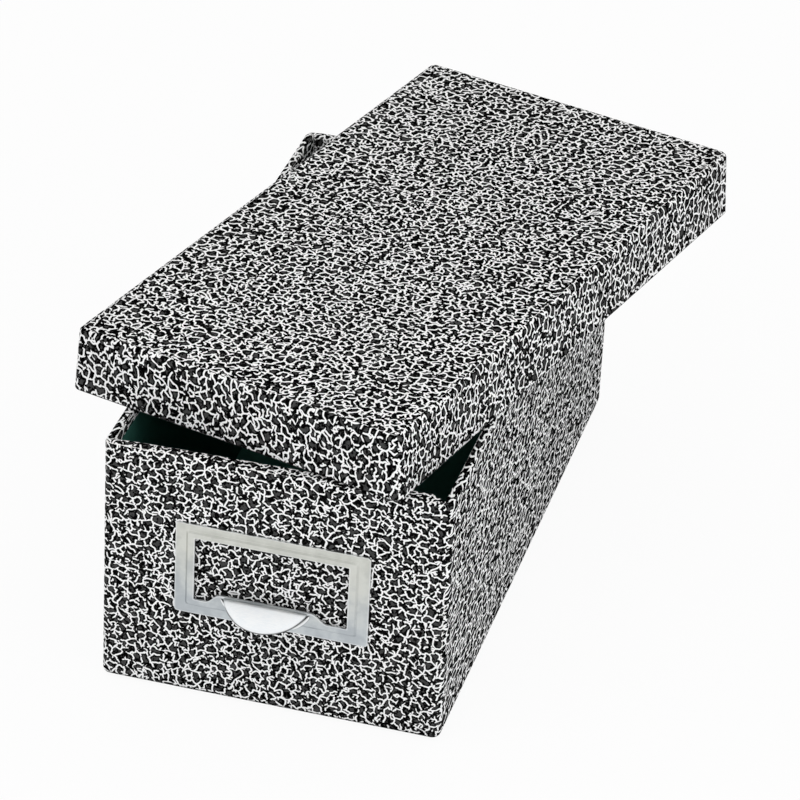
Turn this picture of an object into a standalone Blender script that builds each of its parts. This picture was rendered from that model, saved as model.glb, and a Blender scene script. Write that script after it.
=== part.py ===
"""Index card box: a deep fiberboard tray covered in marbled paper, with a lift-off lid lying askew on its rim
and a stamped steel label holder with a half-moon finger pull on the front wall.

Metres, +Z up. The origin is on the floor under the middle of the tray, and the front wall faces -Y.
"""

from math import atan2, cos, pi, radians, sin, sqrt, tan

import bmesh
import bpy
from mathutils import Matrix, Vector

# Papers, shared by tray and lid
PAPER_THICK = 0.00030
STAY_THICK = 0.00015
STAY_LEG = 0.018
STAY_END_MARGIN = 0.004
LAYER_GAP = 0.00020
FLAT_SHARE = 0.25
TIGHTEST_CORNER = 0.0006

# Tray
TRAY_WIDTH = 0.140
TRAY_DEPTH = 0.274
TRAY_HEIGHT = 0.110
TRAY_BOARD_THICK = 0.0026
TRAY_CORNER_RADIUS = 0.0036
TRAY_FOOT_RADIUS = 0.0028
TRAY_RIM_RADIUS = 0.0015
TRAY_TURN_IN = 0.010
TRAY_TURN_UNDER = 0.014
BASE_SHEET_MARGIN = 0.0045

# Lid
LID_HEIGHT = 0.0284
LID_BOARD_THICK = 0.0012
LID_CLEARANCE = 0.00020
LID_SIDE_FLARE = 0.0021
LID_END_FLARE = 0.0002
LID_CORNER_RADIUS = 0.0034
LID_TOP_RADIUS = 0.0024
LID_RIM_RADIUS = 0.0010
LID_TURN_IN = 0.009

# How the lid lies on the tray's rim
LID_REST_GAP = 0.0003
LID_TURN = radians(14.5)
LID_SHIFT_RIGHT_SHARE = 0.094
LID_SHIFT_BACK_SHARE = 0.044

# Label holder
HOLDER_WIDTH = 0.0790
HOLDER_HEIGHT = 0.0412
HOLDER_SHEET = 0.0008
HOLDER_CENTRE_HEIGHT = 0.0597
HOLDER_CORNER_RADIUS = 0.0012
HOLDER_SIDE_RAIL = 0.0082
HOLDER_TOP_RAIL = 0.0053
HOLDER_FOOT_RAIL = 0.0074
HOLDER_FLANGE_SHARE = 0.56
HOLDER_LIP_RISE = 0.0013
WINDOW_CORNER_RADIUS = 0.0005

# Finger pull of the label holder
PULL_RADIUS = 0.0185
PULL_CHORD_SHARE = 0.25
PULL_CROWN = 0.0022
PULL_SKIRT = 0.0012
PULL_DROOP = radians(25)
PULL_ROOT_RISE = 0.0056
PULL_ROOT_PROUD = 0.0034
SHOULDER_SPREAD = 0.0060

# Prongs of the label holder
PRONG_WIDTH = 0.0040
PRONG_CLINCH = 0.0060
PRONG_INSET = 0.0016
PRONG_CLEARANCE = 0.00035
PRONG_PLACE_SHARE = 0.60

# Round stretches
CORNER_STEPS = 5
FOLD_STEPS = 3
SMOOTH_ANGLE = radians(40)
PULL_SEGMENTS = 36
PULL_RINGS = 12
CUT_TOLERANCE = 0.00002

# Worked out from the sizes above
UNDER_WRAP = LAYER_GAP + STAY_THICK + LAYER_GAP
TRAY_BOARD_INSET = PAPER_THICK + UNDER_WRAP
TRAY_LINER_INSET = TRAY_BOARD_INSET + TRAY_BOARD_THICK + LAYER_GAP
TRAY_WALL = TRAY_LINER_INSET + PAPER_THICK
TRAY_WRAP_FOOT = PAPER_THICK + LAYER_GAP
TRAY_BOARD_FOOT = TRAY_WRAP_FOOT + TRAY_BOARD_INSET
LID_BOARD_INSET = PAPER_THICK + UNDER_WRAP
LID_LINER_INSET = LID_BOARD_INSET + LID_BOARD_THICK + LAYER_GAP
LID_WALL = LID_LINER_INSET + PAPER_THICK
LID_WIDTH = TRAY_WIDTH + 2 * (LID_WALL + LID_CLEARANCE)
LID_DEPTH = TRAY_DEPTH + 2 * (LID_WALL + LID_CLEARANCE)
HOLDER_BACK_GAP = LAYER_GAP
WINDOW_FOOT = HOLDER_FOOT_RAIL - HOLDER_HEIGHT / 2
LIP_FRONT = HOLDER_SHEET + HOLDER_LIP_RISE
PULL_ROOT_HEIGHT = WINDOW_FOOT + PULL_ROOT_RISE
PULL_CHORD = PULL_RADIUS * PULL_CHORD_SHARE
PULL_HALF_CHORD = sqrt(PULL_RADIUS**2 - PULL_CHORD**2)
PRONG_REACH = HOLDER_BACK_GAP + TRAY_WALL + LAYER_GAP + HOLDER_SHEET / 2


def clear_scene():
    for scene_object in list(bpy.data.objects):
        bpy.data.objects.remove(scene_object, do_unlink=True)


def new_collection(name):
    collection = bpy.data.collections.new(name)
    bpy.context.scene.collection.children.link(collection)
    return collection


def new_material(name, colour, roughness, metallic=0.0):
    material = bpy.data.materials.new(name)
    material.use_nodes = True
    shader = material.node_tree.nodes["Principled BSDF"]
    shader.inputs["Base Color"].default_value = (*colour, 1.0)
    shader.inputs["Roughness"].default_value = roughness
    shader.inputs["Metallic"].default_value = metallic
    material.diffuse_color = (*colour, 1.0)
    return material


def new_object(name, mesh, collection, material=None, parent=None):
    """Turn a bmesh into an object with smooth faces, sharp where they meet at more than SMOOTH_ANGLE."""
    data = bpy.data.meshes.new(name)
    mesh.to_mesh(data)
    mesh.free()
    data.shade_smooth()
    data.set_sharp_from_angle(angle=SMOOTH_ANGLE)
    scene_object = bpy.data.objects.new(name, data)
    scene_object.parent = parent
    if material:
        data.materials.append(material)
    collection.objects.link(scene_object)
    return scene_object


def as_helper(scene_object):
    scene_object.hide_render = True
    scene_object.display_type = "WIRE"
    return scene_object


def thicken(scene_object, thickness, offset=-1.0):
    solidify = scene_object.modifiers.new("thickness", "SOLIDIFY")
    solidify.thickness = thickness
    solidify.offset = offset
    solidify.use_even_offset = True
    solidify.use_rim = True


def combine(scene_object, other, operation):
    boolean = scene_object.modifiers.new(f"{operation.lower()} {other.name}", "BOOLEAN")
    boolean.operation = operation
    boolean.solver = "EXACT"
    boolean.object = other


# Outlines and sections


def arc(centre, radius, start, end, steps):
    angles = [start + (end - start) * step / steps for step in range(steps + 1)]
    return [(centre[0] + radius * cos(angle), centre[1] + radius * sin(angle)) for angle in angles]


def rounded_rectangle(right, foot, top, radius):
    """Points anticlockwise round a rectangle from -right to right and from foot to top."""
    corners = (
        (right - radius, foot + radius, -pi / 2),
        (right - radius, top - radius, 0),
        (radius - right, top - radius, pi / 2),
        (radius - right, foot + radius, pi),
    )
    points = []
    for x, y, start in corners:
        points += arc((x, y), radius, start, start + pi / 2, CORNER_STEPS)
    return points


def folded(points, radii):
    """A section's path, with each inner point rounded to its radius."""
    path = [Vector(points[0])]
    for before, fold, after, radius in zip(points, points[1:], points[2:], radii):
        fold = Vector(fold)
        to_before = (Vector(before) - fold).normalized()
        to_after = (Vector(after) - fold).normalized()
        half_angle = to_before.angle(to_after) / 2
        middle = fold + (to_before + to_after).normalized() * radius / sin(half_angle)
        start = fold + to_before * radius / tan(half_angle) - middle
        turn = pi - 2 * half_angle
        side = 1 if to_before.x * to_after.y - to_before.y * to_after.x < 0 else -1
        first = atan2(start.y, start.x)
        for point in arc(middle, radius, first, first + side * turn, FOLD_STEPS):
            path.append(Vector(point))
    return path + [Vector(points[-1])]


def bridge(mesh, row, after):
    """Faces from one row of points to the next."""
    for corners in zip(row, row[1:], after[1:], after):
        mesh.faces.new(corners)


def loft(rings, close_start, close_end):
    """Faces round rings of points that run anticlockwise seen from above, in a new bmesh.

    The faces look outwards where the rings rise and inwards where they sink.
    """
    mesh = bmesh.new()
    rings = [[mesh.verts.new(point) for point in ring] for ring in rings]
    for ring, after in zip(rings, rings[1:]):
        bridge(mesh, ring + ring[:1], after + after[:1])
    if close_start:
        mesh.faces.new(reversed(rings[0]))
    if close_end:
        mesh.faces.new(rings[-1])
    return mesh


def sheet(row, after):
    """The faces between two rows of points, in a new bmesh."""
    mesh = bmesh.new()
    bridge(mesh, *([mesh.verts.new(point) for point in points] for points in (row, after)))
    return mesh


class Case:
    """An upright case of rounded rectangular plan, whose walls may lean out towards its open edge."""

    def __init__(self, width, depth, height, corner_radius, side_flare=0, end_flare=0):
        self.half_width = width / 2
        self.half_depth = depth / 2
        self.full_height = height
        self.corner_radius = corner_radius
        self.side_flare = side_flare
        self.end_flare = end_flare

    def plan(self, inset, height):
        """Half width, half depth and corner radius of the case this far inside its skin, at this height."""
        lean_share = 1 - height / self.full_height
        half_width = self.half_width + self.side_flare * lean_share - inset
        half_depth = self.half_depth + self.end_flare * lean_share - inset
        return half_width, half_depth, max(self.corner_radius - inset, TIGHTEST_CORNER)

    def ring(self, inset, height):
        half_width, half_depth, radius = self.plan(inset, height)
        outline = rounded_rectangle(half_width, -half_depth, half_depth, radius)
        return [(x, y, height) for x, y in outline]

    def rings(self, section, radii):
        return [self.ring(inset, height) for inset, height in folded(section, radii)]

    def corner_sheet(self, inset, low, high, leg, right, back):
        """A strip round one upright corner, from one leg's edge to the other's."""
        rows = []
        for height in (low, high):
            half_width, half_depth, radius = self.plan(inset, height)
            middle = (half_width - radius, half_depth - radius)
            path = [(half_width, half_depth - leg)]
            path += arc(middle, radius, 0, pi / 2, CORNER_STEPS)
            path += [(half_width - leg, half_depth)]
            row = [(x * right, y * back, height) for x, y in path]
            rows.append(row if right == back else row[::-1])
        return sheet(*rows)


TRAY = Case(TRAY_WIDTH, TRAY_DEPTH, TRAY_HEIGHT, TRAY_CORNER_RADIUS)
LID = Case(LID_WIDTH, LID_DEPTH, LID_HEIGHT, LID_CORNER_RADIUS, LID_SIDE_FLARE, LID_END_FLARE)


# Tray


def make_tray_board(collection, material):
    rim = TRAY_HEIGHT - PAPER_THICK - LAYER_GAP
    inner = TRAY_BOARD_INSET + TRAY_BOARD_THICK
    inner_floor = TRAY_BOARD_FOOT + TRAY_BOARD_THICK
    rim_radius = TRAY_RIM_RADIUS - PAPER_THICK - LAYER_GAP
    foot_radius = TRAY_FOOT_RADIUS - TRAY_BOARD_INSET
    middle = TRAY_WIDTH * FLAT_SHARE
    section = (
        (middle, TRAY_BOARD_FOOT),
        (TRAY_BOARD_INSET, TRAY_BOARD_FOOT),
        (TRAY_BOARD_INSET, rim),
        (inner, rim),
        (inner, inner_floor),
        (middle, inner_floor),
    )
    mesh = loft(TRAY.rings(section, (foot_radius, rim_radius, rim_radius, rim_radius)), True, True)
    return new_object("tray_board", mesh, collection, material)


def make_tray_wrap(collection, material):
    section = (
        (TRAY_TURN_UNDER, TRAY_WRAP_FOOT),
        (0, TRAY_WRAP_FOOT),
        (0, TRAY_HEIGHT),
        (TRAY_WALL, TRAY_HEIGHT),
        (TRAY_WALL, TRAY_HEIGHT - TRAY_TURN_IN),
    )
    mesh = loft(TRAY.rings(section, (TRAY_FOOT_RADIUS, TRAY_RIM_RADIUS, TRAY_RIM_RADIUS)), False, False)
    wrap = new_object("tray_wrap", mesh, collection, material)
    thicken(wrap, PAPER_THICK)
    return wrap


def make_tray_liner(collection, material):
    floor = TRAY_BOARD_FOOT + TRAY_BOARD_THICK + LAYER_GAP
    section = (
        (TRAY_WIDTH * FLAT_SHARE, floor),
        (TRAY_LINER_INSET, floor),
        (TRAY_LINER_INSET, TRAY_HEIGHT - TRAY_TURN_IN - LAYER_GAP),
    )
    mesh = loft(TRAY.rings(section, (TRAY_RIM_RADIUS,)), True, False)
    liner = new_object("tray_liner", mesh, collection, material)
    thicken(liner, PAPER_THICK)
    return liner


def make_tray_base_sheet(collection, material):
    rings = [TRAY.ring(BASE_SHEET_MARGIN, height) for height in (0, PAPER_THICK)]
    return new_object("tray_base_sheet", loft(rings, True, True), collection, material)


def make_corner_stays(case, owner, inset, low, high, collection, material, parent=None):
    number = 0
    for right in (-1, 1):
        for back in (-1, 1):
            number += 1
            mesh = case.corner_sheet(inset, low, high, STAY_LEG, right, back)
            name = f"{owner}_corner_stay_{number}"
            stay = new_object(name, mesh, collection, material, parent)
            thicken(stay, STAY_THICK)


# Lid, built upright in its own frame with its open edge at height zero


def make_lid_board(collection, material, parent):
    top = LID_HEIGHT - LID_BOARD_INSET
    rim = PAPER_THICK + LAYER_GAP
    inner = LID_BOARD_INSET + LID_BOARD_THICK
    rim_radius = LID_RIM_RADIUS - PAPER_THICK - LAYER_GAP
    top_radius = LID_TOP_RADIUS - LID_BOARD_INSET
    middle = LID_WIDTH * FLAT_SHARE
    section = (
        (middle, top - LID_BOARD_THICK),
        (inner, top - LID_BOARD_THICK),
        (inner, rim),
        (LID_BOARD_INSET, rim),
        (LID_BOARD_INSET, top),
        (middle, top),
    )
    mesh = loft(LID.rings(section, (rim_radius, rim_radius, rim_radius, top_radius)), True, True)
    return new_object("lid_board", mesh, collection, material, parent)


def make_lid_wrap(collection, material, parent):
    section = (
        (LID_WALL, LID_TURN_IN),
        (LID_WALL, 0),
        (0, 0),
        (0, LID_HEIGHT),
        (LID_WIDTH * FLAT_SHARE, LID_HEIGHT),
    )
    mesh = loft(LID.rings(section, (LID_RIM_RADIUS, LID_RIM_RADIUS, LID_TOP_RADIUS)), False, True)
    wrap = new_object("lid_wrap", mesh, collection, material, parent)
    thicken(wrap, PAPER_THICK)
    return wrap


def make_lid_liner(collection, material, parent):
    ceiling = LID_HEIGHT - LID_LINER_INSET
    section = (
        (LID_LINER_INSET, LID_TURN_IN + LAYER_GAP),
        (LID_LINER_INSET, ceiling),
        (LID_WIDTH * FLAT_SHARE, ceiling),
    )
    mesh = loft(LID.rings(section, (LID_RIM_RADIUS,)), False, True)
    liner = new_object("lid_liner", mesh, collection, material, parent)
    thicken(liner, PAPER_THICK)
    return liner


# Label holder, built flat with X to the right, Y up the wall and Z out of the wall


def holder_frame():
    """The flat flange, the step and the raised lip round the label window."""

    def ring(share, proud):
        half_width = HOLDER_WIDTH / 2 - HOLDER_SIDE_RAIL * share
        foot = -HOLDER_HEIGHT / 2 + HOLDER_FOOT_RAIL * share
        top = HOLDER_HEIGHT / 2 - HOLDER_TOP_RAIL * share
        radius = HOLDER_CORNER_RADIUS + (WINDOW_CORNER_RADIUS - HOLDER_CORNER_RADIUS) * share
        return [(x, y, proud) for x, y in rounded_rectangle(half_width, foot, top, radius)]

    step_share = HOLDER_LIP_RISE / HOLDER_SIDE_RAIL
    rings = [
        ring(0, HOLDER_SHEET),
        ring(HOLDER_FLANGE_SHARE, HOLDER_SHEET),
        ring(HOLDER_FLANGE_SHARE + step_share, LIP_FRONT),
        ring(1, LIP_FRONT),
    ]
    return loft(rings, False, False)


def pull_shell():
    """A shallow dome cut straight across at its root, with a short skirt round its curved edge."""
    mesh = bmesh.new()
    bmesh.ops.create_uvsphere(mesh, u_segments=PULL_SEGMENTS, v_segments=PULL_RINGS, radius=PULL_RADIUS)
    bmesh.ops.scale(mesh, vec=(1, 1, PULL_CROWN / PULL_RADIUS), verts=mesh.verts)
    for place, normal in ((Vector(), (0, 0, -1)), (Vector((0, -PULL_CHORD, 0)), (0, 1, 0))):
        everything = mesh.verts[:] + mesh.edges[:] + mesh.faces[:]
        bmesh.ops.bisect_plane(
            mesh, geom=everything, dist=CUT_TOLERANCE, plane_co=place, plane_no=normal, clear_outer=True
        )
    rim = [
        edge
        for edge in mesh.edges
        if edge.is_boundary and all(abs(point.co.z) < CUT_TOLERANCE for point in edge.verts)
    ]
    skirt = bmesh.ops.extrude_edge_only(mesh, edges=rim)["geom"]
    skirt_points = [item for item in skirt if isinstance(item, bmesh.types.BMVert)]
    bmesh.ops.translate(mesh, vec=(0, 0, -PULL_SKIRT), verts=skirt_points)
    bmesh.ops.translate(mesh, vec=(0, PULL_CHORD, 0), verts=mesh.verts)
    lean = Matrix.Rotation(PULL_DROOP - pi / 2, 4, "X")
    place = Matrix.Translation((0, PULL_ROOT_HEIGHT, PULL_ROOT_PROUD))
    bmesh.ops.transform(mesh, matrix=place @ lean, verts=mesh.verts)
    return mesh


def pull_shoulder():
    """The plate that rises from the lower rail to the root of the pull."""
    mesh = bmesh.new()
    bmesh.ops.create_cube(mesh, size=1)
    foot = WINDOW_FOOT - HOLDER_LIP_RISE
    for point in mesh.verts:
        at_top = point.co.y > 0
        half_width = PULL_HALF_CHORD + (HOLDER_LIP_RISE if at_top else SHOULDER_SPREAD)
        front = PULL_ROOT_PROUD if at_top else LIP_FRONT
        height = PULL_ROOT_HEIGHT + HOLDER_LIP_RISE if at_top else foot
        depth = 0 if point.co.z > 0 else HOLDER_SHEET
        point.co = (2 * point.co.x * half_width, height, front - depth)
    return mesh


def prong_sheet(right, up):
    """A strip from the back of the flange through the wall, bent over behind it."""
    root = HOLDER_WIDTH / 2 - PRONG_INSET
    section = (
        (root, HOLDER_SHEET / 2),
        (root, -PRONG_REACH),
        (root - PRONG_CLINCH, -PRONG_REACH),
    )
    path = folded(section, (HOLDER_SHEET,))
    middle = up * PRONG_PLACE_SHARE * HOLDER_HEIGHT / 2
    foot_edge, top_edge = (
        [(x * right, y, z) for x, z in path]
        for y in (middle - PRONG_WIDTH / 2, middle + PRONG_WIDTH / 2)
    )
    return sheet(foot_edge, top_edge)


def prong_slots():
    """The slots that the prongs pass through, longer than the wall is thick."""
    mesh = bmesh.new()
    width = HOLDER_SHEET + 2 * PRONG_CLEARANCE
    height = PRONG_WIDTH + 2 * PRONG_CLEARANCE
    length = 2 * PRONG_REACH
    size = Matrix.Diagonal((width, height, length, 1))
    for right in (-1, 1):
        for up in (-1, 1):
            x = right * (HOLDER_WIDTH / 2 - PRONG_INSET)
            y = up * PRONG_PLACE_SHARE * HOLDER_HEIGHT / 2
            place = Matrix.Translation((x, y, -length / 2))
            bmesh.ops.create_cube(mesh, size=1, matrix=place @ size)
    return mesh


def make_label_holder(collection, helpers, material, place):
    holder = new_object("label_holder", holder_frame(), collection, material, place)
    thicken(holder, HOLDER_SHEET)
    pieces = [as_helper(new_object("pull_shell_helper", pull_shell(), helpers, None, place))]
    thicken(pieces[0], HOLDER_SHEET)
    pieces.append(as_helper(new_object("pull_shoulder_helper", pull_shoulder(), helpers, None, place)))
    for right in (-1, 1):
        for up in (-1, 1):
            side = "right" if right > 0 else "left"
            end = "top" if up > 0 else "foot"
            prong = new_object(f"prong_{side}_{end}_helper", prong_sheet(right, up), helpers, None, place)
            thicken(prong, HOLDER_SHEET, offset=0)
            pieces.append(as_helper(prong))
    for piece in pieces:
        combine(holder, piece, "UNION")
    return holder


def cut_prong_slots(walls, helpers, place):
    slots = as_helper(new_object("prong_slots_cutter", prong_slots(), helpers, None, place))
    for wall in walls:
        combine(wall, slots, "DIFFERENCE")


def main():
    clear_scene()
    parts = new_collection("index_card_box")
    helpers = new_collection("cutters_and_helpers")
    helpers.hide_render = True
    board = new_material("fiberboard", (0.36, 0.31, 0.25), 0.9)
    marbled = new_material("marbled_paper", (0.16, 0.16, 0.16), 0.5)
    lining = new_material("dark_green_lining", (0.012, 0.035, 0.028), 0.7)
    kraft = new_material("gummed_kraft", (0.45, 0.33, 0.2), 0.8)
    sheet = new_material("base_paper", (0.03, 0.03, 0.03), 0.7)
    steel = new_material("nickel_steel", (0.62, 0.63, 0.62), 0.35, 1.0)

    tray_board = make_tray_board(parts, board)
    tray_wrap = make_tray_wrap(parts, marbled)
    tray_liner = make_tray_liner(parts, lining)
    make_tray_base_sheet(parts, sheet)
    stay_inset = PAPER_THICK + LAYER_GAP
    low = TRAY_BOARD_FOOT + STAY_END_MARGIN
    high = TRAY_HEIGHT - STAY_END_MARGIN
    make_corner_stays(TRAY, "tray", stay_inset, low, high, parts, kraft)

    lid_place = bpy.data.objects.new("lid_place", None)
    parts.objects.link(lid_place)
    lid_place.location = (
        TRAY_WIDTH * LID_SHIFT_RIGHT_SHARE,
        TRAY_DEPTH * LID_SHIFT_BACK_SHARE,
        TRAY_HEIGHT + LID_REST_GAP,
    )
    lid_place.rotation_euler = (0, 0, -LID_TURN)
    make_lid_board(parts, board, lid_place)
    make_lid_wrap(parts, marbled, lid_place)
    make_lid_liner(parts, lining, lid_place)
    make_corner_stays(
        LID, "lid", stay_inset, STAY_END_MARGIN, LID_HEIGHT - STAY_END_MARGIN, parts, kraft, lid_place
    )

    holder_place = bpy.data.objects.new("label_holder_place", None)
    parts.objects.link(holder_place)
    holder_place.location = (0, -TRAY_DEPTH / 2 - HOLDER_BACK_GAP, HOLDER_CENTRE_HEIGHT)
    holder_place.rotation_euler = (pi / 2, 0, 0)
    make_label_holder(parts, helpers, steel, holder_place)
    cut_prong_slots((tray_board, tray_wrap, tray_liner), helpers, holder_place)


main()
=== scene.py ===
"""Index card box in marbled paper, with its lid askew on the rim and a label holder with a finger pull.

Metres, +Z up, the front wall faces -Y. Every piece is put where it lies at rest.
"""

from math import atan2, cos, inf, pi, radians, sin, sqrt, tan

import bmesh
import bpy
from mathutils import Matrix, Vector


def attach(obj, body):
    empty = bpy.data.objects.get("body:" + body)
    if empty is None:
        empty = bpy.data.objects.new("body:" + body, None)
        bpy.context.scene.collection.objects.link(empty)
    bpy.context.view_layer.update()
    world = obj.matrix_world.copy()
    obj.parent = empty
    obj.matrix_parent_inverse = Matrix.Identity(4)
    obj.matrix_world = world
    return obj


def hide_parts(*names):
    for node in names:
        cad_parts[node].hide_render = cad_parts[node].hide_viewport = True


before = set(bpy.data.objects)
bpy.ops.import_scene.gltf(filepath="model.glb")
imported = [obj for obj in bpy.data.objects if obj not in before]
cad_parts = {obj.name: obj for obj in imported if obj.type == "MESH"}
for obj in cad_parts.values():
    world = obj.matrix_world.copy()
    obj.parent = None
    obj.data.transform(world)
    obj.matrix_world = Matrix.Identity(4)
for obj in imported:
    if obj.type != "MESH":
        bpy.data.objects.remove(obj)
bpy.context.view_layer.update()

# Sizes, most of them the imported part's own. UNDER_WRAP is the room for the corner stays

PAPER = 0.0003
UNDER_WRAP = 0.00055
LAYER_GAP = 0.0002

TRAY_WIDTH, TRAY_DEPTH, TRAY_HEIGHT = 0.140, 0.274, 0.110
TRAY_BOARD = 0.0026
TRAY_CORNER_RADIUS = 0.0036
TRAY_FOOT_RADIUS = 0.0028
TRAY_RIM_RADIUS = 0.0013
TRAY_LINER_FOLD = 0.0013
TRAY_TURN_IN = 0.010
TRAY_FRONT_TURN_IN = 0.0045
FRONT_FILL = 0.0035
TRAY_TURN_UNDER = 0.014
TRAY_WRAP_FOOT = PAPER + LAYER_GAP
TRAY_LINER_INSET = PAPER + UNDER_WRAP + TRAY_BOARD + LAYER_GAP
TRAY_WALL = TRAY_LINER_INSET + PAPER
TRAY_LINER_FLOOR = TRAY_WRAP_FOOT + PAPER + UNDER_WRAP + TRAY_BOARD + LAYER_GAP

LID_HEIGHT = 0.0284
LID_BOARD = 0.0012
LID_WALL = PAPER + UNDER_WRAP + LID_BOARD + LAYER_GAP + PAPER
LID_CLEARANCE = 0.0002
LID_WIDTH = TRAY_WIDTH + 2 * (LID_WALL + LID_CLEARANCE)
LID_DEPTH = TRAY_DEPTH + 2 * (LID_WALL + LID_CLEARANCE)
LID_SIDE_FLARE, LID_END_FLARE = 0.0021, 0.0002
LID_CORNER_RADIUS = 0.0035
LID_TOP_RADIUS = 0.0020
LID_RIM_RADIUS = 0.0010
LID_LINER_FOLD = 0.0010
LID_TURN_IN = 0.009
LID_SHEET_DOWN = LID_TURN_IN + LID_WALL + LID_HEIGHT
LID_RIGHT, LID_BACK = 0.094 * TRAY_WIDTH, 0.044 * TRAY_DEPTH
LID_OFF_RIM = 0.0003
LID_TURN = radians(14.5)
LID_PLACE = Matrix.Translation((LID_RIGHT, LID_BACK, TRAY_HEIGHT + LID_OFF_RIM))
LID_PLACE = LID_PLACE @ Matrix.Rotation(-LID_TURN, 4, "Z")

HOLDER_WIDTH, HOLDER_HEIGHT = 0.0790, 0.0412
HOLDER_SHEET = 0.0008
HOLDER_SIDE_RAIL, HOLDER_TOP_RAIL, HOLDER_FOOT_RAIL = 0.0082, 0.0053, 0.0074
HOLDER_MIDDLE_HEIGHT = 0.0597
HOLDER_PLACE = Matrix.Translation((0, -TRAY_DEPTH / 2 - LAYER_GAP, HOLDER_MIDDLE_HEIGHT))
HOLDER_PLACE = HOLDER_PLACE @ Matrix.Rotation(pi / 2, 4, "X")
LIP_RISE = 0.0013
WINDOW_FOOT = HOLDER_FOOT_RAIL - HOLDER_HEIGHT / 2
PULL_RADIUS = 0.0180
PULL_CHORD = 0.33 * PULL_RADIUS
PULL_CROWN = 0.0022
PULL_SKIRT = 0.0012
PULL_DROOP = radians(25)
PULL_ROOT_PROUD = 0.0034
PULL_ROOT_HEIGHT = WINDOW_FOOT + 0.0041
PRONG_WIDTH = 0.0040
PRONG_CLINCH = 0.0060
PRONG_ACROSS = HOLDER_WIDTH / 2 - 0.0016
PRONG_UP = 0.60 * HOLDER_HEIGHT / 2
PRONG_CLEARANCE = 0.00035
PRONG_REACH = LAYER_GAP + TRAY_WALL + LAYER_GAP + HOLDER_SHEET / 2
PRONG_SIDES = ((-1, -1), (-1, 1), (1, -1), (1, 1))

# Map of each covering sheet laid flat, in metres, and how far the print is stretched on the box

PRINT_MAP = "print"
SIDE_STRETCH = 1.9
LID_STRETCH = 1.06
SKIRT_STRETCH = 1.28

# The print, measured in units of its own. Paper that faces up has its own widths

UNITS_PER_METRE = 354.0
VEIN_WIDTH, TOP_VEIN_WIDTH = 0.126, 0.138
RIM_WIDTH, TOP_RIM_WIDTH = 0.32, 0.43
FACES_UP_FROM, FACES_UP_FULL = 0.5, 0.9
LARGE_SPACING, SMALL_SPACING = 1.3, 0.9
LARGE_SHIFT, SMALL_SHIFT = (3.1, 2.2, 0), (7.7, 5.4, 0)
ISLAND_SCATTER = 0.9
SWAY, SWAY_SCALE = 0.5, 0.8
WRIGGLE, WRIGGLE_SCALE = 0.5, 1.4
SLOPE_STEP = 0.03
FLATTEST_SLOPE = 0.35
ZONE_SCALE, ZONE_LARGE, ZONE_SMALL = 0.55, 0.50, 0.60
GAP_SCALE, GAP_FROM, GAP_FULL, GAP_FILL = 1.3, 0.63, 0.71, 0.32
GAP_SHIFT = (40.0, 17.0, 0)
VEIN_SOFTNESS = 0.15
CORE_SOFTNESS = 1.25
CORE_MOTTLE_SCALE, CORE_STRENGTH = 3.0, (0.55, 1.3)

# Ranges that a noise mostly fills, the range of two added up, and a noise's middle

NOISE_CORE, NOISE_BODY, NOISE_REACH = (0.35, 0.65), (0.3, 0.7), (0.25, 0.75)
TWO_NOISES = (0.75, 1.25)
NOISE_MIDDLE = (0.5, 0.5, 0.5)

# Fibre, wear and gloss of paper

FIBRE_DRIFT = 0.004
WEAR_PATCHES_PER_METRE = 28.0
WEAR_BESIDE_PATCHES = 0.25
RUBBED_THROUGH = (-0.05, 0.15)
COVER_WEAR, PLAIN_WEAR = 0.72, 0.45
COVER_TOOTH, MOTTLE_TOOTH = 0.00003, 1.5
COVER_ROUGHNESS, RUBBED_ROUGHER = (0.42, 0.56), 0.3
PLAIN_ROUGHNESS_SWING = 0.06
PLAIN_SHINE = 0.25
DARKEST_TONE = 0.95

# Colours of ink and wear, and of painted shade

VEIN_WHITE = (0.93, 0.93, 0.93, 1.0)
RIM_BLACK = (0.001, 0.001, 0.001, 1.0)
CORE_CHARCOAL = (0.062, 0.062, 0.062, 1.0)
BARE_PAPER = (0.82, 0.81, 0.79, 1.0)
PAPER_CONTACT_SHADE = (0.006, 0.006, 0.006, 1.0)
STEEL_PAINTED_SHADE = (0.012, 0.013, 0.013, 1.0)
BARE_FIBRE = 0.35

# The nickel plate, with a painted reflection: darker and cooler at the holder's foot, lighter and warmer at
# its top

DULL_COOL, DULL_WARM = (0.46, 0.495, 0.52, 1.0), (0.58, 0.59, 0.545, 1.0)
BRIGHT_COOL, BRIGHT_WARM = (0.56, 0.60, 0.625, 1.0), (0.67, 0.68, 0.635, 1.0)
# Colours of the painted highlight on the pull, on the plate's edges and on the beads' tops.
HIGHLIGHT_DARK, HIGHLIGHT_LIGHT = (0.89, 0.92, 0.94, 1.0), (0.96, 0.975, 0.98, 1.0)
COOL_HEIGHT, WARM_HEIGHT = 0.058, 0.098
WARMTH_DRIFT = 0.04
ROLLED_SCALE = (0.06, 1.0, 1.0)
ROLLED_LINES_PER_METRE = 5200.0
CLOUDS_PER_METRE = 120.0
GRAINS_PER_METRE = 4200.0
HIGHLIGHT_MARKS = (0.80, 1.15)
PLATE_TOOTH, GRAIN_TOOTH = 0.000006, 0.7
PLATE_ROUGHNESS, CLOUD_ROUGHER, SHADED_ROUGHER = (0.30, 0.38), 0.05, 0.4

# Shader nodes


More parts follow.
